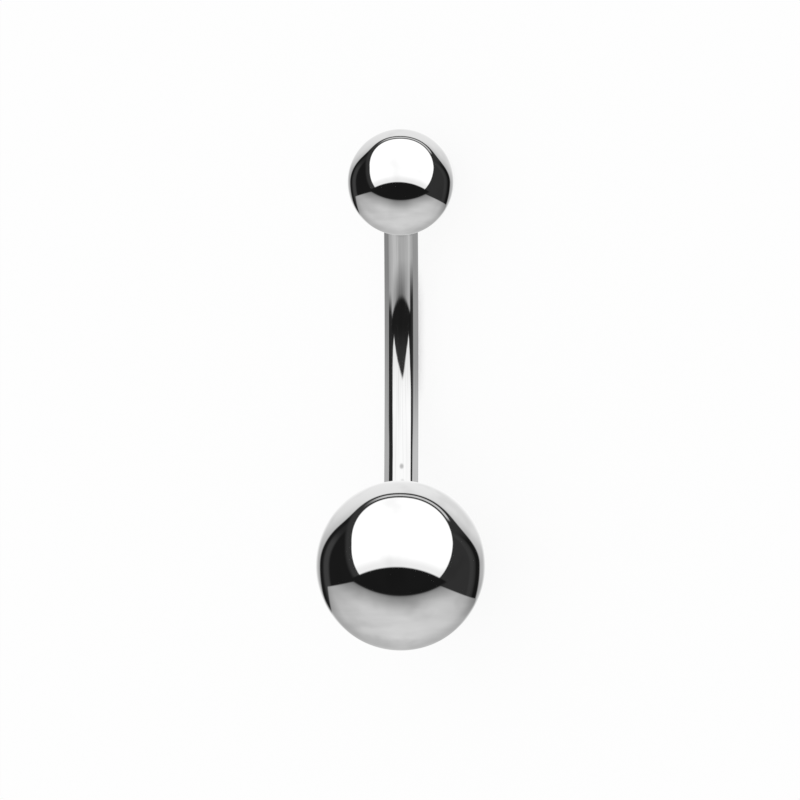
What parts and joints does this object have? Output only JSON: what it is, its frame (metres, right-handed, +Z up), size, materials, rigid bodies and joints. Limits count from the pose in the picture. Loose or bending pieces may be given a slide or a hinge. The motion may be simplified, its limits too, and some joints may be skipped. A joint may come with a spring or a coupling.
{
  "type": "navel ring",
  "caption": "Curved steel bar with a large fixed ball at one end and a smaller screw-off ball on a threaded post at the other, worn through a navel piercing.",
  "frame": {"origin": "middle of the base of its box, on the surface that it lies on", "axes": "+X from the large ball to the small ball along the ring's length, +Y towards the side that the bow of the bar leans to, +Z up from the surface"},
  "size_m": [0.0244, 0.008, 0.008],
  "materials": {
    "polished_bar": "mirror-polished surgical steel with fine hairlines along the bar",
    "polished_balls": "mirror-polished surgical steel",
    "machined_thread": "bright machined steel with fine turning marks"
  },
  "bodies": {
    "barbell": {"bar": "polished_bar", "bottom_ball": "polished_balls"},
    "screw_ball": {"top_ball": "polished_balls", "threaded_post": "machined_thread"}
  },
  "joints": [
    {"name": "ball_unscrew", "type": "slide", "parent": "barbell", "child": "screw_ball", "axis": [0.9223, -0.2568, 0.2888], "range_m": [0, 0.003]}
  ]
}
